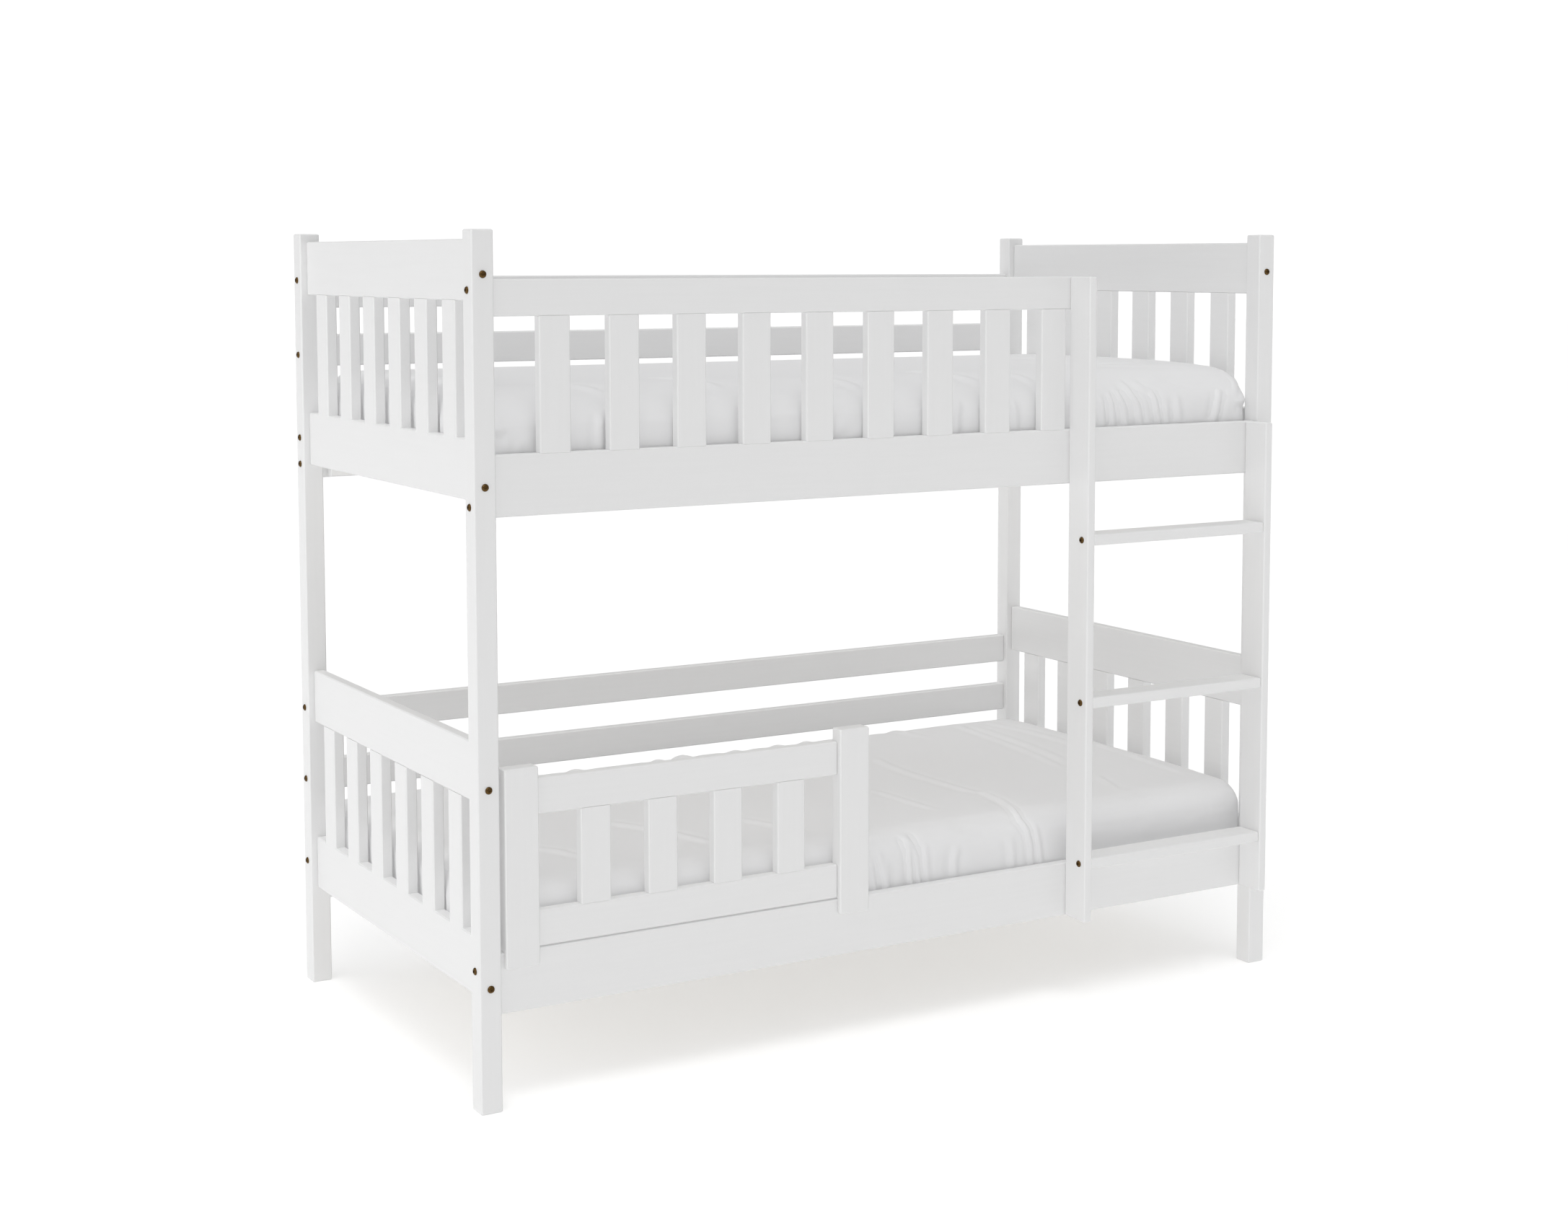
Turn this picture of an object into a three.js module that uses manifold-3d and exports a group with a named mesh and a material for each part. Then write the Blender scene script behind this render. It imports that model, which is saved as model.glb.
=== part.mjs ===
// Children's bunk bed with a ladder, for two 80 x 160 cm mattresses.
// Millimetres, +Z up, bed length along X, ladder side facing -Y.
// The origin is the middle of the bounding box, at floor level.
import * as THREE from 'three';
import { mergeVertices } from 'three/addons/utils/BufferGeometryUtils.js';
import Module from 'manifold-3d';

// ---------------------------------------------------------------- driving dimensions
const BED_LENGTH = 1668;
const BED_WIDTH = 867;
const BED_HEIGHT = 1436;
const POST = 38;
const RAIL_THICKNESS = 20;
const SLAT_WIDTH = 55;
const EDGE = 2; // chamfer along the edges of a board
const TOUCH = 0.3; // gap between pieces that touch

// Each storey: height of the side rail's underside, its height, and its end panel's boards.
const LOWER = { rail: 160, endBottom: 185.5, endTop: 508, backRails: [372, 482] };
const UPPER = { rail: 975, endBottom: 1000.5, endTop: 1322, backRails: [1187, 1297] };
const SIDE_RAIL_HEIGHT = 101;
const BACK_RAIL_HEIGHT = 60;

// End panels: boards and slats are flush. Both panels sit off the posts' middle, the same way.
const END = { thickness: 20.5, board: 99, left: -821.5, right: 808.5 };
const END_SLATS = { count: 6, pitch: 124, first: -302 };

// Front guard of the upper bed.
const GUARD = { railHeight: 60, railBottom: 1297, slats: 9, pitch: 125, first: -687 };

// Ladder: flat rungs between two boards that stand against the front rails.
const LADDER = {
  stileThickness: 17,
  stileDepth: 60,
  left: 348.5,
  right: 774,
  rungDepth: 55.5,
  rungThickness: 20,
  rungSetback: 2.3,
  firstRungTop: 278,
  rungPitch: 303,
  rungs: 3,
};

// Lift-off guard of the lower bed: two uprights with tongues that lap the side rail.
const BARRIER = {
  uprights: [-787.5, -151.5],
  uprightWidth: 60,
  front: -434.5,
  back: -405.5,
  tongueBottom: 235,
  top: 566,
  railThickness: 20,
  bottomRail: 264,
  topRail: 484,
  railHeight: 60,
  slats: 4,
  firstSlat: -621,
  pitch: 125,
};

// Bed bases and mattresses.
const LEDGER = { size: 20, lift: 2 };
const BASE = {
  slats: 13,
  slatWidth: 70,
  thickness: 18,
  halfLength: 785,
  tapeWidth: 30,
  tapeThickness: 2,
};
const MATTRESS = { height: 165, halfWidth: 401, from: -797.5, to: 805.5, crown: 50, corner: 56 };

// Ladder bolts: domed head with a hexagon socket.
const BOLT = { headRadius: 6.25, headHeight: 3.2, shankRadius: 3, length: 45, socketAcross: 5 };
const BOLT_HOLE_RADIUS = 3.4;
const BOLT_FORWARD = 12; // ahead of the rung's middle

// ---------------------------------------------------------------- derived planes
const HALF_LENGTH = BED_LENGTH / 2;
const HALF_WIDTH = BED_WIDTH / 2;
const POST_INNER_X = HALF_LENGTH - POST;
const POST_INNER_Y = HALF_WIDTH - POST;
const RAIL_OUTER_Y = HALF_WIDTH - (POST - RAIL_THICKNESS) / 2;
const RAIL_INNER_Y = RAIL_OUTER_Y - RAIL_THICKNESS;
const LADDER_BACK = -RAIL_OUTER_Y - TOUCH;
const LADDER_FRONT = LADDER_BACK - LADDER.stileDepth;

// ---------------------------------------------------------------- finishes
const lacquer = { color: 0xececec, roughness: 0.45, metalness: 0 };
const pine = { color: 0xd9bd92, roughness: 0.7, metalness: 0 };
const bronze = { color: 0x6b4a2a, roughness: 0.4, metalness: 0.9 };
const sheet = { color: 0xe6e6e6, roughness: 0.9, metalness: 0 };

const wasm = await Module();
wasm.setup();

const bed = new THREE.Group();

// ---------------------------------------------------------------- geometry helpers

// A closed outline with every corner cut back by the chamfer size.
function chamferedOutline(points, cut) {
  const corners = [];
  points.forEach((corner, i) => {
    const before = points[(i + points.length - 1) % points.length];
    const after = points[(i + 1) % points.length];
    for (const neighbour of [before, after]) {
      const step = neighbour.clone().sub(corner).setLength(cut);
      corners.push(corner.clone().add(step));
    }
  });
  return new THREE.Shape(corners);
}

// A prism along +Z with its outline in XY and its ends rounded off, or chamfered in one segment.
function prism(outline, length, edge, bevelSegments, curveSegments) {
  return new THREE.ExtrudeGeometry(outline, {
    depth: length - 2 * edge,
    bevelThickness: edge,
    bevelSize: edge,
    bevelOffset: -edge,
    bevelSegments,
    curveSegments,
  }).translate(0, 0, edge);
}

function rectangle(width, height) {
  const x = width / 2;
  const y = height / 2;
  return [[-x, -y], [x, -y], [x, y], [-x, y]].map(([u, v]) => new THREE.Vector2(u, v));
}

// A board between two corners, with its grain along the longest side.
function boardGeometry([low, high]) {
  const size = high.map((value, i) => value - low[i]);
  const middle = high.map((value, i) => (value + low[i]) / 2);
  const along = size.indexOf(Math.max(...size));
  const [width, height] = [[size[2], size[1]], [size[0], size[2]], [size[0], size[1]]][along];
  const geometry = prism(chamferedOutline(rectangle(width, height), EDGE), size[along], EDGE, 1);
  geometry.translate(0, 0, -size[along] / 2);
  if (along === 0) geometry.rotateY(Math.PI / 2);
  if (along === 1) geometry.rotateX(Math.PI / 2);
  return geometry.translate(...middle);
}

function solid(geometry) {
  const bare = geometry.clone();
  bare.deleteAttribute('normal');
  bare.deleteAttribute('uv');
  const merged = mergeVertices(bare, 1e-4);
  return new wasm.Manifold(new wasm.Mesh({
    numProp: 3,
    vertProperties: new Float32Array(merged.attributes.position.array),
    triVerts: new Uint32Array(merged.index.array),
  }));
}

function geometryOf(body) {
  const mesh = body.getMesh();
  const geometry = new THREE.BufferGeometry();
  geometry.setAttribute('position', new THREE.BufferAttribute(mesh.vertProperties, 3));
  geometry.setIndex(new THREE.BufferAttribute(mesh.triVerts, 1));
  geometry.computeVertexNormals();
  return geometry;
}

function join(geometries) {
  return geometryOf(geometries.map(solid).reduce((whole, piece) => whole.add(piece)));
}

function drill(geometry, holes) {
  return geometryOf(holes.map(solid).reduce((rest, hole) => rest.subtract(hole), solid(geometry)));
}

// A cylinder along +X from a starting point.
function rodAlongX(x, y, z, radius, length) {
  const rod = new THREE.CylinderGeometry(radius, radius, length, 16).rotateZ(Math.PI / 2);
  return rod.translate(x + length / 2, y, z);
}

function add(name, geometry, finish) {
  const mesh = new THREE.Mesh(geometry, new THREE.MeshStandardMaterial(finish));
  mesh.name = name;
  bed.add(mesh);
  return mesh;
}

function board(name, box) {
  return add(name, boardGeometry(box), lacquer);
}

// An upright slat that stays flush with the boards at its ends: it runs past their chamfers
// and is shaped to them with the usual gap.
function slatGeometry([low, high], neighbours) {
  const blank = boardGeometry([[low[0], low[1], low[2] - EDGE], [high[0], high[1], high[2] + EDGE]]);
  const grown = neighbours.map(([from, to]) => boardGeometry([
    from.map((value) => value - TOUCH),
    to.map((value) => value + TOUCH),
  ]));
  return drill(blank, grown);
}

// ---------------------------------------------------------------- frame

function addPosts() {
  for (const [sideName, side] of [['front', -1], ['back', 1]]) {
    for (const [endName, end] of [['left', -1], ['right', 1]]) {
      const x = [POST_INNER_X, HALF_LENGTH].map((value) => value * end).sort((a, b) => a - b);
      const y = [POST_INNER_Y, HALF_WIDTH].map((value) => value * side).sort((a, b) => a - b);
      board(`post_${sideName}_${endName}`, [[x[0], y[0], 0], [x[1], y[1], BED_HEIGHT]]);
    }
  }
}

// The box of a rail between the posts, along the front (-1) or the back (1).
function railBox(side, bottom, height, end = POST_INNER_X - TOUCH) {
  const y = side < 0 ? -RAIL_OUTER_Y : RAIL_INNER_Y;
  return [[-POST_INNER_X + TOUCH, y, bottom], [end, y + RAIL_THICKNESS, bottom + height]];
}

function addRails() {
  for (const [storeyName, storey] of [['lower', LOWER], ['upper', UPPER]]) {
    board(`side_rail_${storeyName}_front`, railBox(-1, storey.rail, SIDE_RAIL_HEIGHT));
    board(`side_rail_${storeyName}_back`, railBox(1, storey.rail, SIDE_RAIL_HEIGHT));
    storey.backRails.forEach((bottom, i) => {
      board(`back_rail_${storeyName}_${i + 1}`, railBox(1, bottom, BACK_RAIL_HEIGHT));
    });
  }
}

// An end panel: a loose top board above a bottom board that carries the glued slats.
function endPanel(name, outerX, storey) {
  const x = [outerX, outerX + END.thickness];
  const reach = POST_INNER_Y - TOUCH;
  const boardBox = (bottom) => [[x[0], -reach, bottom], [x[1], reach, bottom + END.board]];
  const topBoard = boardBox(storey.endTop);
  const pieces = [boardGeometry(boardBox(storey.endBottom))];
  for (let i = 0; i < END_SLATS.count; i += 1) {
    const y = END_SLATS.first + i * END_SLATS.pitch - SLAT_WIDTH / 2;
    const low = [x[0], y, storey.endBottom + END.board - EDGE];
    pieces.push(slatGeometry([low, [x[1], y + SLAT_WIDTH, storey.endTop]], [topBoard]));
  }
  add(`${name}_slatted_board`, join(pieces), lacquer);
  board(`${name}_top_board`, topBoard);
}

function addEndPanels() {
  for (const [storeyName, storey] of [['lower', LOWER], ['upper', UPPER]]) {
    endPanel(`end_left_${storeyName}`, END.left, storey);
    endPanel(`end_right_${storeyName}`, END.right, storey);
  }
}

// ---------------------------------------------------------------- upper guard

function addUpperGuard() {
  const ladderSide = LADDER.left + LADDER.stileThickness;
  const guardRail = railBox(-1, GUARD.railBottom, GUARD.railHeight, ladderSide);
  const sideRail = railBox(-1, UPPER.rail, SIDE_RAIL_HEIGHT);
  board('guard_rail', guardRail);
  for (let i = 0; i < GUARD.slats; i += 1) {
    const x = GUARD.first + i * GUARD.pitch - SLAT_WIDTH / 2;
    const low = [x, -RAIL_OUTER_Y, UPPER.rail + SIDE_RAIL_HEIGHT];
    const high = [x + SLAT_WIDTH, -RAIL_INNER_Y, GUARD.railBottom];
    add(`guard_slat_${i + 1}`, slatGeometry([low, high], [sideRail, guardRail]), lacquer);
  }
}

// ---------------------------------------------------------------- ladder

const rungTops = Array.from({ length: LADDER.rungs }, (_, i) => LADDER.firstRungTop + i * LADDER.rungPitch);
const boltHeights = rungTops.map((top) => top - LADDER.rungThickness / 2);
const rungMiddleY = LADDER_BACK - LADDER.rungSetback - LADDER.rungDepth / 2;
const boltY = rungMiddleY - BOLT_FORWARD;

function addStile(name, x, top) {
  const low = [x, LADDER_FRONT, LOWER.rail];
  const blank = boardGeometry([low, [x + LADDER.stileThickness, LADDER_BACK, top]]);
  const length = LADDER.stileThickness + 2;
  const holes = boltHeights.map((z) => rodAlongX(x - 1, boltY, z, BOLT_HOLE_RADIUS, length));
  add(name, drill(blank, holes), lacquer);
}

function addRungs() {
  const x = [LADDER.left + LADDER.stileThickness + TOUCH, LADDER.right - TOUCH];
  const holeDepth = BOLT.length - LADDER.stileThickness + 2;
  rungTops.forEach((top, i) => {
    const back = LADDER_BACK - LADDER.rungSetback;
    const low = [x[0], back - LADDER.rungDepth, top - LADDER.rungThickness];
    const blank = boardGeometry([low, [x[1], back, top]]);
    const z = boltHeights[i];
    const starts = [x[0] - 1, x[1] + 1 - holeDepth];
    const holes = starts.map((start) => rodAlongX(start, boltY, z, BOLT_HOLE_RADIUS, holeDepth));
    add(`ladder_rung_${i + 1}`, drill(blank, holes), lacquer);
  });
}

// A bolt along +X: the underside of its head is at x = 0.
function boltGeometry() {
  const dome = [new THREE.Vector2(0, -BOLT.headHeight)];
  for (const angle of [30, 60, 90]) {
    const turn = THREE.MathUtils.degToRad(angle);
    dome.push(new THREE.Vector2(BOLT.headRadius * Math.sin(turn), -BOLT.headHeight * Math.cos(turn)));
  }
  const profile = [...dome, [BOLT.shankRadius, 0], [BOLT.shankRadius, BOLT.length], [0, BOLT.length]];
  const points = profile.map((point) => (Array.isArray(point) ? new THREE.Vector2(...point) : point));
  const body = new THREE.LatheGeometry(points, 16).rotateZ(-Math.PI / 2);
  const socketRadius = BOLT.socketAcross / Math.sqrt(3);
  const socket = new THREE.CylinderGeometry(socketRadius, socketRadius, BOLT.headHeight, 6);
  socket.rotateZ(Math.PI / 2).translate(-BOLT.headHeight, 0, 0);
  return drill(body, [socket]);
}

function addLadderBolts() {
  const bolt = boltGeometry();
  const outer = [LADDER.left - TOUCH, LADDER.right + LADDER.stileThickness + TOUCH];
  boltHeights.forEach((z, i) => {
    const left = add(`ladder_bolt_left_${i + 1}`, bolt, bronze);
    left.position.set(outer[0], boltY, z);
    const right = add(`ladder_bolt_right_${i + 1}`, bolt, bronze);
    right.position.set(outer[1], boltY, z);
    right.rotation.z = Math.PI;
  });
}

function addLadder() {
  addStile('ladder_stile_left', LADDER.left, GUARD.railBottom + GUARD.railHeight);
  addStile('ladder_stile_right', LADDER.right, UPPER.rail + SIDE_RAIL_HEIGHT);
  addRungs();
  addLadderBolts();
}

// ---------------------------------------------------------------- lift-off guard of the lower bed

// The upright's side view: full depth above the side rail, a thin tongue in front of it.
function uprightGeometry(x) {
  const railTop = LOWER.rail + SIDE_RAIL_HEIGHT + TOUCH;
  const tongueBack = -RAIL_OUTER_Y - TOUCH;
  const side = [
    [BARRIER.front, BARRIER.tongueBottom],
    [tongueBack, BARRIER.tongueBottom],
    [tongueBack, railTop],
    [BARRIER.back, railTop],
    [BARRIER.back, BARRIER.top],
    [BARRIER.front, BARRIER.top],
  ].map(([y, z]) => new THREE.Vector2(y, z));
  const geometry = prism(chamferedOutline(side, EDGE), BARRIER.uprightWidth, EDGE, 1);
  return geometry.rotateX(Math.PI / 2).rotateZ(Math.PI / 2).translate(x, 0, 0);
}

function addBarrier() {
  const [left, right] = BARRIER.uprights;
  add('barrier_upright_left', uprightGeometry(left), lacquer);
  add('barrier_upright_right', uprightGeometry(right), lacquer);
  const x = [left + BARRIER.uprightWidth + TOUCH, right - TOUCH];
  const y = [BARRIER.back - BARRIER.railThickness, BARRIER.back];
  const rails = [BARRIER.bottomRail, BARRIER.topRail].map((bottom) => (
    [[x[0], y[0], bottom], [x[1], y[1], bottom + BARRIER.railHeight]]
  ));
  board('barrier_rail_bottom', rails[0]);
  board('barrier_rail_top', rails[1]);
  for (let i = 0; i < BARRIER.slats; i += 1) {
    const start = BARRIER.firstSlat + i * BARRIER.pitch - SLAT_WIDTH / 2;
    const low = [start, y[0], BARRIER.bottomRail + BARRIER.railHeight];
    const high = [start + SLAT_WIDTH, y[1], BARRIER.topRail];
    add(`barrier_slat_${i + 1}`, slatGeometry([low, high], rails), lacquer);
  }
}

// ---------------------------------------------------------------- bases and mattresses

// Loose slats held at their spacing by two tapes stapled underneath.
function baseGeometry(bottom) {
  const reach = RAIL_INNER_Y - 2 * TOUCH;
  const span = 2 * BASE.halfLength - BASE.slatWidth;
  const pieces = [];
  for (let i = 0; i < BASE.slats; i += 1) {
    const x = -BASE.halfLength + BASE.slatWidth / 2 + (i * span) / (BASE.slats - 1);
    const slat = new THREE.BoxGeometry(BASE.slatWidth, 2 * reach, BASE.thickness);
    pieces.push(slat.translate(x, 0, bottom + BASE.thickness / 2));
  }
  for (const y of [-reach / 2, reach / 2]) {
    const tape = new THREE.BoxGeometry(span, BASE.tapeWidth, BASE.tapeThickness);
    pieces.push(tape.translate(0, y, bottom));
  }
  return join(pieces);
}

function roundedRectangle(x0, x1, halfWidth, radius) {
  const shape = new THREE.Shape();
  shape.moveTo(x0 + radius, -halfWidth);
  shape.absarc(x1 - radius, -halfWidth + radius, radius, -Math.PI / 2, 0);
  shape.absarc(x1 - radius, halfWidth - radius, radius, 0, Math.PI / 2);
  shape.absarc(x0 + radius, halfWidth - radius, radius, Math.PI / 2, Math.PI);
  shape.absarc(x0 + radius, -halfWidth + radius, radius, Math.PI, Math.PI * 1.5);
  return shape;
}

function mattressGeometry(bottom) {
  const outline = roundedRectangle(MATTRESS.from, MATTRESS.to, MATTRESS.halfWidth, MATTRESS.corner);
  return prism(outline, MATTRESS.height, MATTRESS.crown, 3, 3).translate(0, 0, bottom);
}

function addStorey(name, storey) {
  const ledgerBottom = storey.rail + LEDGER.lift;
  const ledgerTop = ledgerBottom + LEDGER.size;
  for (const [sideName, y] of [
    ['front', -RAIL_INNER_Y + TOUCH],
    ['back', RAIL_INNER_Y - TOUCH - LEDGER.size],
  ]) {
    const low = [-BASE.halfLength, y, ledgerBottom];
    const high = [BASE.halfLength, y + LEDGER.size, ledgerTop];
    board(`ledger_${name}_${sideName}`, [low, high]);
  }
  const baseBottom = ledgerTop + TOUCH;
  add(`slatted_base_${name}`, baseGeometry(baseBottom), pine);
  add(`mattress_${name}`, mattressGeometry(baseBottom + BASE.thickness + TOUCH), sheet);
}

// ---------------------------------------------------------------- assembly

addPosts();
addRails();
addEndPanels();
addUpperGuard();
addLadder();
addBarrier();
addStorey('lower', LOWER);
addStorey('upper', UPPER);

// The ladder stands in front of the posts, so the frame moves back to centre the whole.
bed.position.y = -(LADDER_FRONT + HALF_WIDTH) / 2;

export default bed;
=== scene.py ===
"""Looks of the bunk bed with ladder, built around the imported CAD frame. Metres throughout."""

import math

import bmesh
import bpy
import numpy as np
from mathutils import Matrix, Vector


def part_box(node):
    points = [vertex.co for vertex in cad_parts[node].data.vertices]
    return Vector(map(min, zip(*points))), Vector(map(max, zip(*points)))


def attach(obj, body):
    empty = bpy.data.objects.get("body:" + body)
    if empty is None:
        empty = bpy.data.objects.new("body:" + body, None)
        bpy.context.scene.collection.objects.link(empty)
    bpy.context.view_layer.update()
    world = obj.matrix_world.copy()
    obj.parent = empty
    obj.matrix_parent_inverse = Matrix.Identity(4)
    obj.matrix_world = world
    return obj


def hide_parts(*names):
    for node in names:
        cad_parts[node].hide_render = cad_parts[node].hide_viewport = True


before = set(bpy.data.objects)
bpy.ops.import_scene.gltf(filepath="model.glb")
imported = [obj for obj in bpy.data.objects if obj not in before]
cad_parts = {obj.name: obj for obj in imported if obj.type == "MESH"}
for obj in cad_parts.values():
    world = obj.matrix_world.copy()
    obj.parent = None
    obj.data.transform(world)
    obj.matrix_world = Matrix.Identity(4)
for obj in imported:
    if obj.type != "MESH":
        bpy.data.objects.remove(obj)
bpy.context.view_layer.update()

FRAME_BODY = "bed_frame"

# ---------------------------------------------------------------- camera
CAMERA_PLACE = (-2.275, -3.880, 1.385)
CAMERA_AZIMUTH = -30.88
CAMERA_ELEVATION = 4.81
CAMERA_LENS = 54.0
CAMERA_SHIFT = (-0.0212, -0.100)
SENSOR_WIDTH = 36.0
FARTHEST_SEEN = 100.0


def make_camera():
    data = bpy.data.cameras.new("camera")
    data.lens = CAMERA_LENS
    data.sensor_width = SENSOR_WIDTH
    data.shift_x, data.shift_y = CAMERA_SHIFT
    data.clip_end = FARTHEST_SEEN
    camera = bpy.data.objects.new("camera", data)
    bpy.context.scene.collection.objects.link(camera)
    azimuth, elevation = math.radians(CAMERA_AZIMUTH), math.radians(CAMERA_ELEVATION)
    camera.location = CAMERA_PLACE
    camera.rotation_euler = (math.pi / 2 - elevation, 0.0, azimuth)
    bpy.context.scene.camera = camera


# ---------------------------------------------------------------- stage and light
WHITE = (1, 1, 1, 1)
# The sky that lights the bed, from the horizon to overhead, and the sky that the camera sees.
SKY_LOW = 0.10
SKY_HIGH = 0.88
SKY_SEEN = 1.1
# Each softbox: name, place, size and power. They point at the middle of the bed.
SOFTBOXES = (
    ("left_softbox", (-4.3, 0.8, 1.8), (3.0, 3.0), 20),
    ("right_softbox", (3.4, -4.2, 2.0), (2.6, 2.6), 6),
)
SOFTBOX_TARGET = (0, 0, 0.7)
# The fill and the floor's own sun: strength, direction, and spread in degrees.
FILL = 1.16
FILL_FROM = (-0.54, -0.43, 0.72)
FILL_SPREAD = 50
FLOOR_SUN = 0.50
FLOOR_SUN_FROM = (-0.14, -0.36, 0.92)
FLOOR_SUN_SPREAD = 24
# The floor shines a little itself, so that it stays white up to the horizon.
FLOOR_GLOW = 0.11
FLOOR_TONE = 0.90
FLOOR_REACH = 40.0


def make_world():
    """Even white light from all round; the camera itself sees plain white."""
    world = bpy.data.worlds.new("studio")
    bpy.context.scene.world = world
    world.use_nodes = True
    nodes, links = world.node_tree.nodes, world.node_tree.links
    nodes.clear()
    seen = nodes.new("ShaderNodeBackground")
    seen.inputs["Color"].default_value = WHITE
    seen.inputs["Strength"].default_value = SKY_SEEN
    lit = nodes.new("ShaderNodeBackground")
    lit.inputs["Color"].default_value = WHITE
    direction = nodes.new("ShaderNodeTexCoord")
    parts = nodes.new("ShaderNodeSeparateXYZ")
    climb = nodes.new("ShaderNodeMapRange")
    climb.inputs["To Min"].default_value = SKY_LOW
    climb.inputs["To Max"].default_value = SKY_HIGH
    links.new(direction.outputs["Generated"], parts.inputs["Vector"])
    links.new(parts.outputs["Z"], climb.inputs["Value"])
    links.new(climb.outputs["Result"], lit.inputs["Strength"])
    path = nodes.new("ShaderNodeLightPath")
    mix = nodes.new("ShaderNodeMixShader")
    output = nodes.new("ShaderNodeOutputWorld")
    links.new(path.outputs["Is Camera Ray"], mix.inputs["Fac"])
    links.new(lit.outputs["Background"], mix.inputs[1])
    links.new(seen.outputs["Background"], mix.inputs[2])
    links.new(mix.outputs["Shader"], output.inputs["Surface"])


def make_floor():
    mesh = bpy.data.meshes.new("studio_floor")
    r = FLOOR_REACH
    mesh.from_pydata([(-r, -r, 0), (r, -r, 0), (r, r, 0), (-r, r, 0)], [], [(0, 1, 2, 3)])
    floor = bpy.data.objects.new("studio_floor", mesh)
    bpy.context.scene.collection.objects.link(floor)
    material = bpy.data.materials.new("studio_floor")
    material.use_nodes = True
    shader = material.node_tree.nodes["Principled BSDF"]
    shader.inputs["Base Color"].default_value = (FLOOR_TONE, FLOOR_TONE, FLOOR_TONE, 1)
    shader.inputs["Roughness"].default_value = 1.0
    shader.inputs["Specular IOR Level"].default_value = 0.0
    shader.inputs["Emission Color"].default_value = WHITE
    shader.inputs["Emission Strength"].default_value = FLOOR_GLOW
    mesh.materials.append(material)
    return floor


def area_light(name, place, size, power):
    data = bpy.data.lights.new(name, "AREA")
    data.shape = "RECTANGLE"
    data.size, data.size_y = size
    data.energy = power
    light = bpy.data.objects.new(name, data)
    bpy.context.scene.collection.objects.link(light)
    light.location = place
    aim = Vector(SOFTBOX_TARGET) - Vector(place)
    light.rotation_euler = aim.to_track_quat("-Z", "Y").to_euler()


def distant_light(name, source, strength, spread):
    """A broad, distant light that shines from the direction of source; spread is in degrees."""
    data = bpy.data.lights.new(name, "SUN")
    data.energy = strength
    data.angle = math.radians(spread)
    light = bpy.data.objects.new(name, data)
    bpy.context.scene.collection.objects.link(light)
    light.rotation_euler = Vector(source).to_track_quat("Z", "Y").to_euler()
    return light


def floor_light(floor):
    """Soft light from high in front for the floor alone, to deepen the shadow under the bed."""
    light = distant_light("floor_sun", FLOOR_SUN_FROM, FLOOR_SUN, FLOOR_SUN_SPREAD)
    lit = bpy.data.collections.new("lit_by_floor_sun")
    lit.objects.link(floor)
    light.light_linking.receiver_collection = lit


def make_light(floor):
    make_world()
    floor_light(floor)
    for softbox in SOFTBOXES:
        area_light(*softbox)
    # The fill casts no shadow, because it stands for the bounce of a white studio.
    distant_light("fill", FILL_FROM, FILL, FILL_SPREAD).data.use_shadow = False
    settings = bpy.context.scene.view_settings
    settings.view_transform = "Standard"
    settings.look = "None"


# ---------------------------------------------------------------- materials
# How fast the lacquer's grain changes along a board and across it, per metre.
GRAIN_ALONG = 6.0
GRAIN_ACROSS = 160.0


class Finish:
    """A new material with helpers that build its nodes."""

    def __init__(self, name, roughness):
        self.material = bpy.data.materials.new(name)
        self.material.use_nodes = True
        self.nodes, self.links = self.material.node_tree.nodes, self.material.node_tree.links
        self.shader = self.nodes["Principled BSDF"]
        self.shader.inputs["Roughness"].default_value = roughness

    def noise(self, stretch=None, scale=1.0, detail=2.0, distortion=0.0):
        """Noise over the object's own coordinates, stretched by a factor for each axis."""
        where = self.nodes.new("ShaderNodeTexCoord").outputs["Object"]
        if stretch:
            mapping = self.nodes.new("ShaderNodeMapping")
            mapping.inputs["Scale"].default_value = stretch
            self.links.new(where, mapping.inputs["Vector"])
            where = mapping.outputs["Vector"]
        texture = self.nodes.new("ShaderNodeTexNoise")
        texture.inputs["Scale"].default_value = scale
        texture.inputs["Detail"].default_value = detail
        texture.inputs["Distortion"].default_value = distortion
        self.links.new(where, texture.inputs["Vector"])
        return texture.outputs["Fac"]

    def colour(self, pattern, dark, light):
        mix = self.nodes.new("ShaderNodeMix")
        mix.data_type = "RGBA"
        mix.inputs["A"].default_value = (*dark, 1)
        mix.inputs["B"].default_value = (*light, 1)
        self.links.new(pattern, mix.inputs["Factor"])
        self.links.new(mix.outputs["Result"], self.shader.inputs["Base Color"])

    def gloss(self, pattern, low, high):
        spread = self.nodes.new("ShaderNodeMapRange")
        spread.inputs["To Min"].default_value = low
        spread.inputs["To Max"].default_value = high
        self.links.new(pattern, spread.inputs["Value"])
        self.links.new(spread.outputs["Result"], self.shader.inputs["Roughness"])

    def bump(self, pattern, strength, distance):
        bump = self.nodes.new("ShaderNodeBump")
        bump.inputs["Strength"].default_value = strength
        bump.inputs["Distance"].default_value = distance
        self.links.new(pattern, bump.inputs["Height"])
        self.links.new(bump.outputs["Normal"], self.shader.inputs["Normal"])


def lacquer(grain_axis):
    """Satin white paint on pine: faint grain along one axis shows through it."""
    finish = Finish("white_lacquer_" + grain_axis, roughness=0.5)
    stretch = [GRAIN_ALONG if axis == grain_axis else GRAIN_ACROSS for axis in "xyz"]
    grain = finish.noise(stretch, detail=4.0)
    finish.colour(grain, (0.785, 0.785, 0.785), (0.810, 0.810, 0.810))
    finish.gloss(grain, 0.36, 0.50)
    finish.bump(grain, strength=0.05, distance=0.0006)
    return finish.material


def bronze():
    finish = Finish("bronze_bolt", roughness=0.34)
    finish.shader.inputs["Metallic"].default_value = 1.0
    finish.colour(finish.noise(scale=420.0), (0.05, 0.028, 0.010), (0.17, 0.100, 0.036))
    return finish.material


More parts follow.
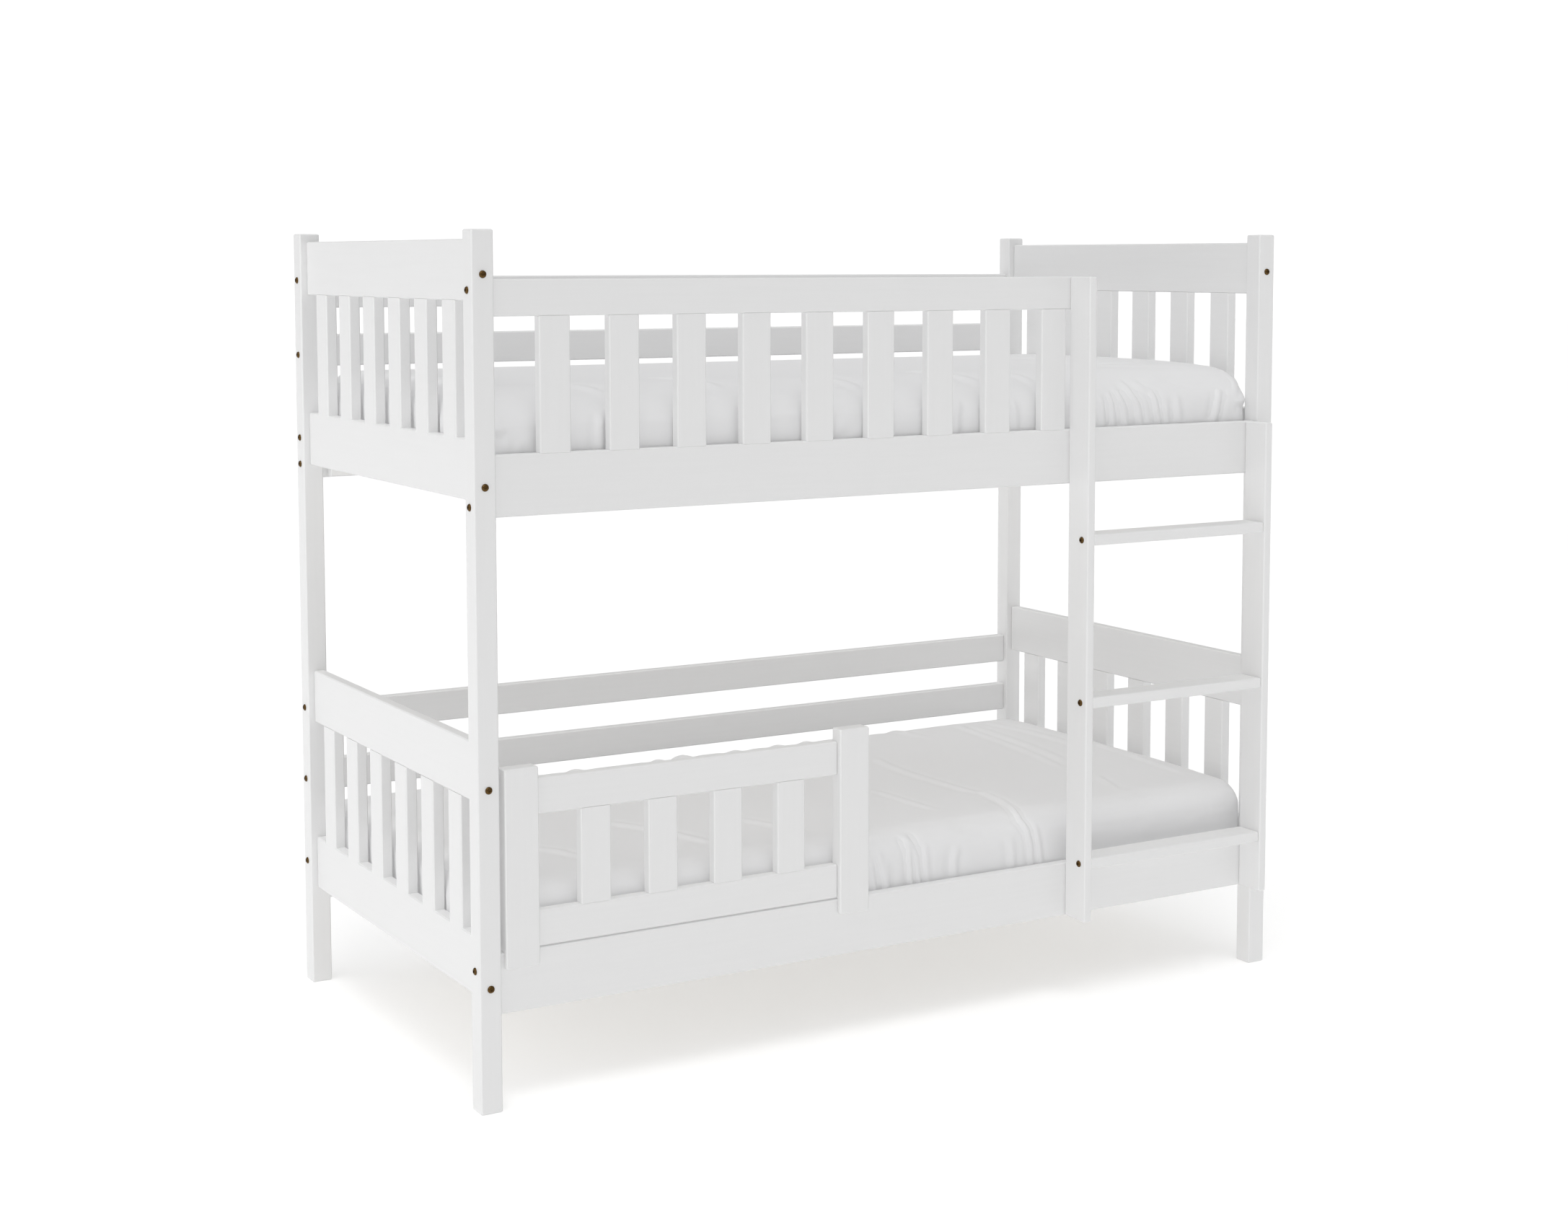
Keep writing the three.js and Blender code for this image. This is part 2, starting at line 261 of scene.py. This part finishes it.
def pine():
    finish = Finish("bare_pine", roughness=0.62)
    grain = finish.noise((90.0, 4.0, 90.0), detail=6.0, distortion=0.6)
    finish.colour(grain, (0.79, 0.755, 0.70), (0.87, 0.85, 0.81))
    finish.bump(grain, strength=0.2, distance=0.001)
    return finish.material


def cotton():
    finish = Finish("cotton_sheet", roughness=0.85)
    finish.shader.inputs["Base Color"].default_value = (0.78, 0.78, 0.785, 1)
    finish.shader.inputs["Sheen Weight"].default_value = 0.15
    finish.bump(finish.noise(scale=900.0), strength=0.08, distance=0.0004)
    return finish.material


# ---------------------------------------------------------------- carried-over boards
ROUNDING = 0.0011
SAME_POINT = 0.00002
SHARP_ANGLE = 30


def longest_axis(node):
    low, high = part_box(node)
    size = high - low
    return "xyz"[max(range(3), key=lambda axis: size[axis])]


def soften_edges(node):
    """Rounds a board's chamfers and shades its flat faces flat."""
    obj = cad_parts[node]
    mesh = obj.data
    if mesh.has_custom_normals:
        mesh.attributes.remove(mesh.attributes["custom_normal"])
    mesh.shade_smooth()
    weld = obj.modifiers.new("weld", "WELD")
    weld.merge_threshold = SAME_POINT
    bevel = obj.modifiers.new("round", "BEVEL")
    bevel.width = ROUNDING
    bevel.segments = 2
    bevel.limit_method = "ANGLE"
    bevel.angle_limit = math.radians(SHARP_ANGLE)
    normals = obj.modifiers.new("flat_faces", "WEIGHTED_NORMAL")
    normals.keep_sharp = False
    normals.weight = 100


def finish_boards():
    paints = {axis: lacquer(axis) for axis in "xyz"}
    wood = pine()
    for node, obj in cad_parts.items():
        if node.startswith(("mattress", "ladder_bolt")):
            continue
        obj.data.materials.clear()
        if node.startswith("slatted_base"):
            obj.data.materials.append(wood)
        else:
            obj.data.materials.append(paints[longest_axis(node)])
        soften_edges(node)


# ---------------------------------------------------------------- bolts
HEAD_RADIUS = 0.00625
HEAD_HEIGHT = 0.0034
HEX_APOTHEM = 0.0022
SOCKET_DEPTH = 0.0026
HEAD_SIDES = 48
SHANK_RADIUS = 0.003
SHANK_LENGTH = 0.030
# The dome's profile runs between these two angles above the head's underside, in so many steps.
DOME_START, DOME_STOP = 6, 68
DOME_STEPS = 8
DOME_FULLNESS = 0.8


def hexagon(angle):
    """Distance from the middle to a hexagon's edge, for a distance of 1 to its flats."""
    sixth = math.pi / 3
    return 1.0 / math.cos((angle + sixth / 2) % sixth - sixth / 2)


def bolt_mesh():
    """A domed bolt head with a hexagon socket, its underside at z = 0, its shank below."""
    # Each ring of the profile: radius, height, and whether it is a hexagon.
    dome = [
        (SHANK_RADIUS, -SHANK_LENGTH, False),
        (SHANK_RADIUS, 0, False),
        (HEAD_RADIUS * 0.97, 0, False),
    ]
    full_rise = math.sin(math.radians(DOME_STOP))
    for step in range(DOME_STEPS + 1):
        turn = math.radians(DOME_START + (DOME_STOP - DOME_START) * step / DOME_STEPS)
        radius = HEAD_RADIUS * math.cos(turn) ** DOME_FULLNESS
        dome.append((radius, HEAD_HEIGHT * math.sin(turn) / full_rise, False))
    rim, floor = HEX_APOTHEM, HEAD_HEIGHT - SOCKET_DEPTH
    socket = [
        (rim + 0.0005, HEAD_HEIGHT * 1.005, True),
        (rim, HEAD_HEIGHT - 0.0003, True),
        (rim, floor, True),
        (rim * 0.5, floor - 0.0006, True),
    ]
    mesh = bpy.data.meshes.new("bolt_head")
    work = bmesh.new()
    rings = []
    for radius, height, is_hexagon in dome + socket:
        ring = []
        for side in range(HEAD_SIDES):
            angle = 2 * math.pi * side / HEAD_SIDES
            reach = radius * (hexagon(angle) if is_hexagon else 1.0)
            place = (reach * math.cos(angle), reach * math.sin(angle), height)
            ring.append(work.verts.new(place))
        rings.append(ring)
    for below, above in zip(rings, rings[1:]):
        for side in range(HEAD_SIDES):
            following = (side + 1) % HEAD_SIDES
            work.faces.new((below[side], below[following], above[following], above[side]))
    work.faces.new(rings[0][::-1])
    work.faces.new(rings[-1])
    bmesh.ops.recalc_face_normals(work, faces=work.faces)
    work.to_mesh(mesh)
    work.free()
    mesh.shade_smooth()
    mesh.set_sharp_from_angle(angle=math.radians(35))
    return mesh


def add_bolt(name, mesh, place, outward):
    bolt = bpy.data.objects.new(name, mesh)
    bpy.context.scene.collection.objects.link(bolt)
    bolt.location = place
    bolt.rotation_euler = Vector(outward).to_track_quat("Z", "Y").to_euler()
    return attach(bolt, FRAME_BODY)


# Height of each bolt above the underside of the board it pulls against.
END_BOLTS = {
    "upper_top_board": 0.0425,
    "upper_slatted_board": 0.0249,
    "lower_top_board": 0.0274,
    "lower_slatted_board": 0.0225,
}
FRONT_BOLTS = {
    "guard_rail": 0.0424,
    "side_rail_upper_front": 0.0180,
    "side_rail_lower_front": 0.0760,
}
BACK_BOLTS = {
    "back_rail_upper_2": 0.0520,
    "back_rail_upper_1": 0.0217,
    "back_rail_lower_2": 0.0520,
    "back_rail_lower_1": 0.0240,
    "side_rail_lower_back": 0.0760,
}
# The upper back side rail has two bolts at each end.
BACK_PAIR = (0.0770, 0.0270)


def post_bolts(mesh):
    """Bolts through the posts: into the end panels along Y, and into the long rails along X."""
    for side, sign_y in (("front", -1), ("back", 1)):
        for end, sign_x in (("left", -1), ("right", 1)):
            low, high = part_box(f"post_{side}_{end}")
            middle = (low + high) / 2
            face_y = low.y if sign_y < 0 else high.y
            face_x = low.x if sign_x < 0 else high.x
            for board, rise in END_BOLTS.items():
                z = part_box(f"end_{end}_{board}")[0].z + rise
                name = f"bolt_{side}_{end}_{board}"
                add_bolt(name, mesh, (middle.x, face_y, z), (0, sign_y, 0))
            rails = dict(FRONT_BOLTS if side == "front" else BACK_BOLTS)
            if side == "front" and end == "right":
                rails.pop("guard_rail")  # the guard stops at the ladder
            heights = [(node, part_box(node)[0].z + rise) for node, rise in rails.items()]
            if side == "back":
                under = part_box("side_rail_upper_back")[0].z
                for i, rise in enumerate(BACK_PAIR):
                    heights.append((f"side_rail_upper_{i}", under + rise))
            for node, z in heights:
                add_bolt(f"bolt_{end}_{node}", mesh, (face_x, middle.y, z), (sign_x, 0, 0))


def ladder_bolts(mesh):
    for end, sign in (("left", -1), ("right", 1)):
        stile_low, stile_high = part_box("ladder_stile_" + end)
        face = stile_low.x if sign < 0 else stile_high.x
        for step in (1, 2, 3):
            node = f"ladder_bolt_{end}_{step}"
            low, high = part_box(node)
            middle = (low + high) / 2
            bolt = add_bolt("seen_" + node, mesh, (face, middle.y, middle.z), (sign, 0, 0))
            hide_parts(node)


def add_bolts():
    mesh = bolt_mesh()
    mesh.materials.append(bronze())
    post_bolts(mesh)
    ladder_bolts(mesh)


# ---------------------------------------------------------------- mattresses and fitted sheets
PAD_HALF_WIDTH = 0.4000
PAD_ENDS = 0.7930
PAD_LIFT = 0.0025
PAD_CELL = 0.018
# Each pad in metres: its highest point, its top's crown, and its edges' radii along X, Y and Z.
PADS = {
    "lower": {"crest": 0.3655, "crown": 0.004, "radius": (0.028, 0.048, 0.044)},
    "upper": {"crest": 1.1865, "crown": 0.008, "radius": (0.028, 0.100, 0.060)},
}

SHEET_GAP = 0.0025
SHEET_CELL = 0.009
CLOTH_THICKNESS = 0.0007
HEM = 0.035
HEM_GRIP = 0.012
# A sheet stays between the side rails and between the end panels.
SIDE_LIMIT = 0.4042
END_LIMITS = (-0.8003, 0.8077)
# Folds and swells fade in over this range of heights above a sheet's lowest edge.
FADE_START, FADE_RANGE = 0.02, 0.03
FOLD_DEPTH = 1.7
# A fold's troughs: how far out they lie and how wide they are, in widths of its ridge.
TROUGH_PLACE, TROUGH_WIDTH = 1.9, 1.2

# Shape of the blocks. Shares are of the half length or half width, counted from the middle.
CORNER_POWER = 14
CROWN_POWER = 2.6
END_BULGES = (0.0030, 0.0100)
BULGE_EDGE, BULGE_EDGE_RANGE = 0.965, 0.05
BULGE_START, BULGE_RANGE = 0.85, 0.15

# The cloth simulation. MOST_SETTLE is the farthest that it may move a point.
SETTLE_FRAMES = 20
MOST_SETTLE = 0.008
CLOTH = {
    "quality": 5,
    "mass": 0.25,
    "air_damping": 2.0,
    "tension_stiffness": 12.0,
    "compression_stiffness": 8.0,
    "shear_stiffness": 4.0,
    "bending_stiffness": 0.4,
    "pin_stiffness": 1.0,
}
CLOTH_DISTANCE = 0.001
PAD_DISTANCE = 0.0008
PAD_FRICTION = 8.0

# The bed's middle lies this far behind the middle of the whole piece, which has a ladder in front.
BED_MIDDLE_Y = (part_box("post_front_left")[0].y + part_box("post_back_left")[1].y) / 2


def smooth(share):
    """Eases a share of 0 to 1 in and out."""
    return share * share * (3 - 2 * share)


class Block:
    """A rounded block with a crowned top, and the flat map of its skin."""

    def __init__(self, low, high, crown, radius):
        self.low, self.high = np.array(low), np.array(high)
        self.crown, self.radius = crown, np.array(radius)
        self.inner_low, self.inner_high = self.low + self.radius, self.high - self.radius
        self.centre, self.half = (self.low + self.high) / 2, (self.high - self.low) / 2

    def grown(self, gap):
        low = self.low - np.array([gap, gap, 0.0])
        return Block(low, self.high + gap, self.crown, self.radius + gap)

    def rounded(self, at):
        """Moves points on the block's box to its rounded skin, nearly square in plan."""
        core = np.clip(at, self.inner_low, self.inner_high)
        away = (at - core) / self.radius
        powers = np.abs(away[:, :2]) ** CORNER_POWER
        level = (powers[:, 0] + powers[:, 1]) ** (1 / CORNER_POWER)
        away /= np.hypot(level, away[:, 2])[:, None]
        return self.bulged(core + away * self.radius)

    def bulged(self, at):
        """Crowns the top, and lets the ends swell out between the posts."""
        at = at.copy()
        offset = np.abs(at - self.centre) / self.half
        rise = np.clip((at[:, 2] - self.centre[2]) / self.half[2], 0, 1)
        at[:, 2] += self.crown * np.clip(1 - offset[:, 1] ** CROWN_POWER, 0, 1) * rise
        between = smooth(np.clip((BULGE_EDGE - offset[:, 1]) / BULGE_EDGE_RANGE, 0, 1))
        near_end = np.clip((offset[:, 0] - BULGE_START) / BULGE_RANGE, 0, 1) ** 2
        at_left = at[:, 0] < self.centre[0]
        swell = np.where(at_left, -END_BULGES[0], END_BULGES[1])
        at[:, 0] += swell * between * near_end
        return at

    def flat_map(self, at):
        """Where a point near the skin lies on the cloth laid flat: along X and along Y."""
        result = []
        height = at[:, 2] - self.inner_high[2]
        for axis in (0, 1):
            offset = at[:, axis] - self.centre[axis]
            mean = (self.radius[axis] + self.radius[2]) / 2
            reach = self.half[axis] - self.radius[axis]
            beyond = np.clip(np.abs(offset) - reach, 0, None) / self.radius[axis]
            turn = np.arctan2(beyond, np.clip(height / self.radius[2], 1e-6, None))
            drop = np.clip(-height, 0, None)
            skin = np.where(beyond > 0, turn * mean, 0.0)
            skin = np.where((height <= 0) & (beyond > 0.7), mean * math.pi / 2 + drop, skin)
            result.append(np.sign(offset) * (np.minimum(np.abs(offset), reach) + skin))
        return np.stack(result, axis=1)


def lattice(block, cell, under):
    """Grid points and quads over a block's box; under is how far the grid turns in below it."""
    size = block.high - block.low
    count = [max(2, round(size[a] / cell)) for a in range(3)]
    step = [size[a] / count[a] for a in range(3)]
    turned_in = [math.ceil(under / step[a]) if under else count[a] for a in range(3)]
    index, points, quads = {}, [], []

    def corner(key):
        if key not in index:
            index[key] = len(points)
            points.append([block.low[a] + step[a] * key[a] for a in range(3)])
        return index[key]

    def kept(axis, end, u, v, across, up):
        if axis != 2 or end:
            return True
        near_u = u < turned_in[across] or u >= count[across] - turned_in[across]
        near_v = v < turned_in[up] or v >= count[up] - turned_in[up]
        return near_u or near_v

    for axis in range(3):
        across, up = (axis + 1) % 3, (axis + 2) % 3
        for end in (0, 1):
            for u in range(count[across]):
                for v in range(count[up]):
                    if not kept(axis, end, u, v, across, up):
                        continue
                    quad = []
                    for du, dv in ((0, 0), (1, 0), (1, 1), (0, 1)):
                        key = [0, 0, 0]
                        key[axis], key[across], key[up] = end * count[axis], u + du, v + dv
                        quad.append(corner(tuple(key)))
                    quads.append(quad if end else quad[::-1])
    return np.array(points), quads


def mesh_object(name, points, quads):
    mesh = bpy.data.meshes.new(name)
    mesh.from_pydata(points.tolist(), [], quads)
    mesh.update()
    mesh.shade_smooth()
    obj = bpy.data.objects.new(name, mesh)
    bpy.context.scene.collection.objects.link(obj)
    return obj


def mesh_arrays(mesh):
    at = np.empty(len(mesh.vertices) * 3)
    mesh.vertices.foreach_get("co", at)
    normals = np.empty(len(mesh.vertices) * 3)
    mesh.vertex_normals.foreach_get("vector", normals)
    return at.reshape(-1, 3), normals.reshape(-1, 3)


def set_points(mesh, at):
    mesh.vertices.foreach_set("co", at.ravel())
    mesh.update()


def crease_height(flat, path, width, height, fade, lean):
    """Height of one fold over the flat map: a ridge along a path with a trough on each side.

    The ridge fades out over fade at both ends. Lean is the trough's depth as a share of height.
    """
    best = np.full(len(flat), 1e9)
    along = np.zeros(len(flat))
    travelled = 0.0
    for start, stop in zip(path, path[1:]):
        run = stop - start
        length = np.linalg.norm(run)
        rel = flat - start
        t = np.clip(rel @ run / length ** 2, 0, 1)
        gap = rel - t[:, None] * run
        distance = np.linalg.norm(gap, axis=1)
        nearer = distance < best
        best = np.where(nearer, distance, best)
        along = np.where(nearer, travelled + t * length, along)
        travelled += length
    ridge = np.exp(-(best / width) ** 2)
    trough = np.exp(-((best - TROUGH_PLACE * width) / (TROUGH_WIDTH * width)) ** 2)
    ends = smooth(np.clip(along / fade, 0, 1) * np.clip((travelled - along) / fade, 0, 1))
    return height * ends * (ridge - lean * trough)


def fold_heights(block, flat, folds):
    total = np.zeros(len(flat))
    for points, width, height, fade, lean in folds:
        at = np.array(points) / 1000.0
        at[:, 1] += BED_MIDDLE_Y
        path = block.flat_map(at)
        depth = FOLD_DEPTH * height / 1000.0
        total += crease_height(flat, path, width / 1000.0, depth, fade / 1000.0, lean)
    return total


def ripple(flat, waves):
    """Slow swells of the cloth: sums of sine waves with set lengths, directions and phases."""
    total = np.zeros(len(flat))
    for length, heading, phase, height in waves:
        heading = math.radians(heading)
        way = np.array([math.cos(heading), math.sin(heading)])
        total += height / 1000.0 * np.sin(2 * math.pi * (flat @ way) / (length / 1000.0) + phase)
    return total


# Each fold: points (x, y, z) from the bed's middle and the floor, width, height, fade and lean,
# all in mm but the lean.
UPPER_FOLDS = [
    ([(508, -385, 1150), (515, -402, 1135), (528, -402, 1111), (536, -402, 1066)],
     6, 2.6, 22, 0.7),
    ([(478, -385, 1150), (484, -402, 1135), (496, -402, 1103), (500, -402, 1066)],
     6, 2.2, 22, 0.7),
    ([(461, -390, 1145), (464, -402, 1132), (470, -402, 1067)], 5.5, 1.8, 20, 0.6),
    ([(440, -395, 1135), (442, -402, 1123), (447, -402, 1067)], 6, 2.0, 20, 0.7),
    ([(562, -388, 1148), (568, -402, 1128), (574, -402, 1100), (585, -402, 1066)],
     6, 2.3, 22, 0.7),
    ([(593, -402, 1120), (595, -402, 1109), (600, -402, 1066)], 6, 1.4, 20, 0.5),
    ([(622, -398, 1135), (624, -402, 1117), (631, -402, 1066)], 7, 1.6, 22, 0.6),
    ([(735, -395, 1145), (729, -402, 1128), (720, -402, 1095), (709, -402, 1066)],
     7, 2.4, 22, 0.7),
    ([(532, -370, 1160), (539, -385, 1152), (554, -396, 1140), (560, -401, 1125)],
     7, 1.2, 18, 0.5),
    ([(500, -370, 1160), (508, -388, 1148), (513, -396, 1138)], 7, 1.2, 14, 0.5),
    ([(590, -372, 1166), (675, -384, 1158), (735, -386, 1156), (790, -388, 1154)],
     20, -3.0, 70, 0.0),
    ([(-660, -285, 1180), (-600, -335, 1174), (-560, -372, 1160)], 8, 1.4, 40, 0.5),
    ([(-430, -240, 1182), (-372, -318, 1176), (-340, -372, 1160)], 9, 1.5, 40, 0.5),
    ([(-150, -300, 1178), (-95, -350, 1170), (-60, -385, 1150)], 8, 1.3, 35, 0.5),
    ([(80, -260, 1182), (150, -330, 1175), (195, -375, 1160)], 9, 1.6, 40, 0.5),
    ([(240, -290, 1179), (290, -350, 1170), (315, -385, 1150)], 8, 1.5, 35, 0.5),
    ([(430, -120, 1186), (560, -190, 1185), (700, -230, 1182)], 12, 1.2, 80, 0.4),
    ([(470, -250, 1182), (600, -290, 1180), (740, -300, 1178)], 11, 1.1, 80, 0.4),
    ([(520, 60, 1186), (640, 20, 1186), (760, 30, 1185)], 12, 1.1, 80, 0.4),
]
LOWER_FOLDS = [
    ([(286, 150, 364), (270, 87, 364), (262, -6, 364), (266, -102, 364), (275, -200, 364),
      (290, -250, 364)], 8, 1.5, 60, 0.4),
    ([(294, -216, 364), (288, -293, 364), (270, -370, 362), (268, -395, 350), (279, -402, 325),
      (286, -402, 296), (290, -402, 240)], 5.5, 2.6, 35, 0.6),
    ([(296, -398, 340), (300, -402, 314), (305, -402, 287), (310, -402, 240)], 5.5, 1.8, 22, 0.5),
    ([(114, -90, 364), (122, -158, 364), (131, -258, 364), (143, -321, 364)], 7, 1.3, 60, 0.4),
    ([(630, 380, 362), (614, 263, 365), (605, 173, 365), (595, 71, 365), (580, -25, 365),
      (555, -144, 365)], 8, 1.5, 70, 0.4),
    ([(650, 320, 365), (640, 200, 365), (628, 60, 365), (600, -100, 365)], 9, 1.2, 70, 0.4),
    ([(700, 360, 364), (716, 201, 365), (719, 78, 365), (712, -60, 365)], 9, 1.4, 70, 0.4),
    ([(577, -211, 365), (550, -300, 365), (525, -371, 362)], 8, 1.4, 50, 0.4),
    ([(761, 30, 364), (750, -150, 364), (739, -307, 363)], 8, 1.3, 60, 0.4),
    ([(5, -385, 358), (10, -402, 348), (15, -402, 322), (18, -402, 291), (21, -402, 240)],
     5.5, 2.4, 20, 0.7),
    ([(14, -385, 358), (20, -402, 343), (31, -402, 306), (38, -402, 240)], 5.5, 2.2, 20, 0.7),
    ([(-52, -398, 335), (-45, -402, 300), (-30, -402, 240)], 6.5, 1.8, 25, 0.6),
    ([(-70, -402, 320), (-64, -402, 297), (-56, -402, 240)], 6, 1.6, 22, 0.6),
    ([(47, -400, 335), (49, -402, 323), (54, -402, 240)], 6.5, 1.3, 22, 0.5),
    ([(110, -386, 358), (180, -392, 352), (229, -394, 350), (262, -396, 348)], 18, -2.4, 50, 0.0),
    ([(-660, -140, 365), (-600, -230, 365), (-560, -330, 364)], 9, 1.6, 50, 0.4),
    ([(-450, -60, 365), (-380, -190, 365), (-330, -340, 364)], 9, 1.7, 60, 0.4),
    ([(-250, -120, 365), (-190, -240, 365), (-150, -350, 363)], 9, 1.5, 50, 0.4),
    ([(-60, 396, 325), (-55, 384, 352), (-48, 345, 364), (-40, 250, 365)], 13, 3.6, 40, 0.3),
    ([(-300, 396, 325), (-295, 384, 352), (-290, 345, 364), (-280, 270, 365)], 12, 2.0, 40, 0.3),
    ([(-110, 396, 325), (-105, 384, 352), (-108, 345, 364), (-120, 260, 365)], 11, 1.8, 40, 0.3),
    ([(75, 396, 325), (78, 384, 352), (70, 345, 364), (66, 250, 365)], 12, 2.0, 40, 0.3),
    ([(170, 396, 325), (174, 384, 352), (180, 345, 364), (190, 260, 365)], 11, 1.6, 40, 0.3),
    ([(258, 396, 325), (250, 384, 352), (246, 345, 364), (240, 240, 365)], 12, 1.9, 40, 0.3),
    ([(470, 396, 325), (468, 384, 352), (480, 345, 364), (492, 250, 365)], 12, 1.7, 40, 0.3),
]


# Short upright folds where the cloth is drawn in round the sides, out of plain view: the place on
# the side, how far the fold slants, and its height. In mm.
FRONT_GATHERS = [
    (-706, 8, 1.8), (-592, -6, 1.5), (-431, 9, 2.0), (-318, -7, 1.6),
    (-164, 10, 1.9), (-38, 6, 1.5), (121, -8, 1.9), (236, 7, 1.6),
]
BACK_GATHERS = [
    (-652, -8, 1.9), (-506, 7, 1.6), (-377, -6, 1.8), (-203, 9, 2.0), (-92, -7, 1.5),
    (58, 8, 1.9), (196, -9, 1.6), (349, 7, 2.0), (527, -6, 1.7), (668, 8, 1.9),
]
END_GATHERS = [
    (-318, 6, 1.8), (-203, -7, 1.5), (-66, 8, 1.9), (71, -6, 1.6), (187, 7, 1.8), (309, -8, 1.7),
]
END_GATHERS_X = (-798, 803)


def gathers(bottom, top):
    """The folds of the lists above, for a sheet between two heights in mm."""
    low = bottom + 45
    folds = []
    for rows, sign in ((FRONT_GATHERS, -1), (BACK_GATHERS, 1)):
        for x, slant, height in rows:
            path = [(x, sign * 399, top - 40), (x + slant, sign * 402, top - 70),
                    (x + slant, sign * 402, low)]
            folds.append((path, 7, height, 22, 0.6))
    for y, slant, height in END_GATHERS:
        for x in END_GATHERS_X:
            path = [(x, y, top - 32), (x, y + slant, top - 65), (x, y + slant, low)]
            folds.append((path, 8, height, 22, 0.6))
    return folds


# Each swell: its wavelength in mm, its direction in degrees, its phase, and its height in mm.
SWELLS = [
    (310, 12, 0.4, 0.9),
    (230, 78, 1.9, 0.7),
    (155, 3, 0.9, 0.8),
    (410, 55, 2.6, 0.9),
    (127, -28, 4.1, 0.35),
]


def mattress_block(storey):
    pad = PADS[storey]
    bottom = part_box("mattress_" + storey)[0].z + PAD_LIFT
    low = (-PAD_ENDS, BED_MIDDLE_Y - PAD_HALF_WIDTH, bottom)
    high = (PAD_ENDS, BED_MIDDLE_Y + PAD_HALF_WIDTH, pad["crest"] - pad["crown"] - SHEET_GAP)
    return Block(low, high, pad["crown"], pad["radius"])


def settle(sheet, pad):
    """Lets the sheet fall on the pad by cloth simulation, held by its hem, and keeps its shape."""
    scene = bpy.context.scene
    collide = pad.modifiers.new("collision", "COLLISION")
    pad.collision.thickness_outer = PAD_DISTANCE
    pad.collision.cloth_friction = PAD_FRICTION
    cloth = sheet.modifiers.new("cloth", "CLOTH")
    for setting, value in CLOTH.items():
        setattr(cloth.settings, setting, value)
    cloth.settings.vertex_group_mass = "held"
    cloth.collision_settings.distance_min = CLOTH_DISTANCE
    cloth.collision_settings.use_self_collision = False
    cloth.point_cache.frame_start = 1
    cloth.point_cache.frame_end = SETTLE_FRAMES
    for frame_number in range(1, SETTLE_FRAMES + 1):
        scene.frame_set(frame_number)
    evaluated = sheet.evaluated_get(bpy.context.evaluated_depsgraph_get())
    settled, _ = mesh_arrays(evaluated.data)
    sheet.modifiers.remove(cloth)
    pad.modifiers.remove(collide)
    scene.frame_set(1)
    start, _ = mesh_arrays(sheet.data)
    move = settled - start
    length = np.linalg.norm(move, axis=1)
    move *= np.minimum(1.0, MOST_SETTLE / np.maximum(length, 1e-9))[:, None]
    set_points(sheet.data, start + move)


def subdivided(obj):
    """Subdivides an object's mesh once and returns the new mesh."""
    modifier = obj.modifiers.new("finer", "SUBSURF")
    modifier.levels = modifier.render_levels = 1
    evaluated = obj.evaluated_get(bpy.context.evaluated_depsgraph_get())
    mesh = bpy.data.meshes.new_from_object(evaluated)
    obj.modifiers.clear()
    old = obj.data
    obj.data = mesh
    bpy.data.meshes.remove(old)
    mesh.shade_smooth()
    return mesh


def raise_skin(mesh, skin, height_of):
    """Moves a sheet's points along their normals, by height_of(flat map), but not near its hem."""
    at, normals = mesh_arrays(mesh)
    above = np.clip((at[:, 2] - skin.low[2] - FADE_START) / FADE_RANGE, 0, 1)
    return at + normals * (height_of(skin.flat_map(at)) * above)[:, None]


def fitted_sheet(storey, skin, pad, folds):
    points, quads = lattice(skin, SHEET_CELL, HEM)
    start = skin.rounded(points)
    sheet = mesh_object("fitted_sheet_" + storey, start, quads)
    held = sheet.vertex_groups.new(name="held")
    low_enough = np.nonzero(start[:, 2] < skin.low[2] + HEM_GRIP)[0]
    held.add([int(i) for i in low_enough], 1.0, "REPLACE")
    swollen = raise_skin(sheet.data, skin, lambda flat: np.clip(ripple(flat, SWELLS), 0, None))
    set_points(sheet.data, swollen)
    settle(sheet, pad)
    mesh = subdivided(sheet)
    folds = folds + gathers(skin.low[2] * 1000, skin.high[2] * 1000)
    at = raise_skin(mesh, skin, lambda flat: fold_heights(skin, flat, folds))
    at[:, 0] = np.clip(at[:, 0], *END_LIMITS)
    at[:, 1] = np.clip(at[:, 1], BED_MIDDLE_Y - SIDE_LIMIT, BED_MIDDLE_Y + SIDE_LIMIT)
    set_points(mesh, at)
    thick = sheet.modifiers.new("thickness", "SOLIDIFY")
    thick.thickness = CLOTH_THICKNESS
    thick.offset = -1.0
    return sheet


def make_mattress(storey, folds, body, cloth_material):
    block = mattress_block(storey)
    points, quads = lattice(block, PAD_CELL, 0)
    pad = mesh_object("mattress_pad_" + storey, block.rounded(points), quads)
    sheet = fitted_sheet(storey, block.grown(SHEET_GAP), pad, folds)
    for piece in (pad, sheet):
        piece.data.materials.clear()
        piece.data.materials.append(cloth_material)
        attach(piece, body)
    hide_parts("mattress_" + storey)
    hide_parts("mattress_" + storey)


# ---------------------------------------------------------------- assembly
make_camera()
make_light(make_floor())
finish_boards()
add_bolts()
sheet_material = cotton()
make_mattress("lower", LOWER_FOLDS, "lower_mattress", sheet_material)
make_mattress("upper", UPPER_FOLDS, "upper_mattress", sheet_material)
